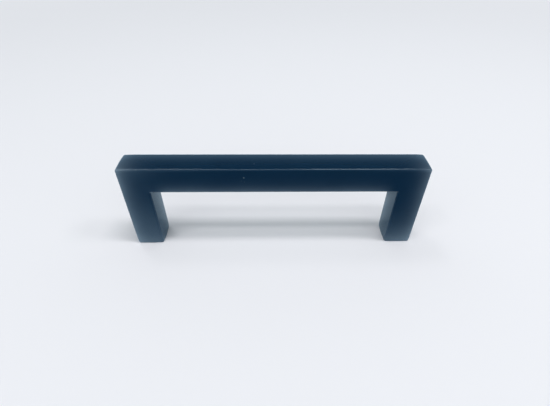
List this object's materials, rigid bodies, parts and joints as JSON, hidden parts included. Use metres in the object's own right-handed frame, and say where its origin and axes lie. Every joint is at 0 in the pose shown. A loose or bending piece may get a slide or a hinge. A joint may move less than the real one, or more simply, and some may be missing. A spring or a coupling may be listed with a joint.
{
  "type": "u-shaped pull handle",
  "caption": "U-shaped square-bar pull handle with soft edges and a satin blue-black coat; its feet have tapped holes so that it screws onto a drawer or door from behind.",
  "frame": {"origin": "midway between the axes of the screw holes, on the mounting plane that the feet's flat faces lie in", "axes": "+X along the grip, +Y from the front face to the back face, +Z from the mounting plane out to the grip"},
  "size_m": [0.106, 0.01, 0.035],
  "materials": {
    "coated_casting": "satin-matt blue-black coat with a fine texture"
  },
  "bodies": {
    "root": {"pull_handle": "coated_casting"}
  },
  "joints": []
}
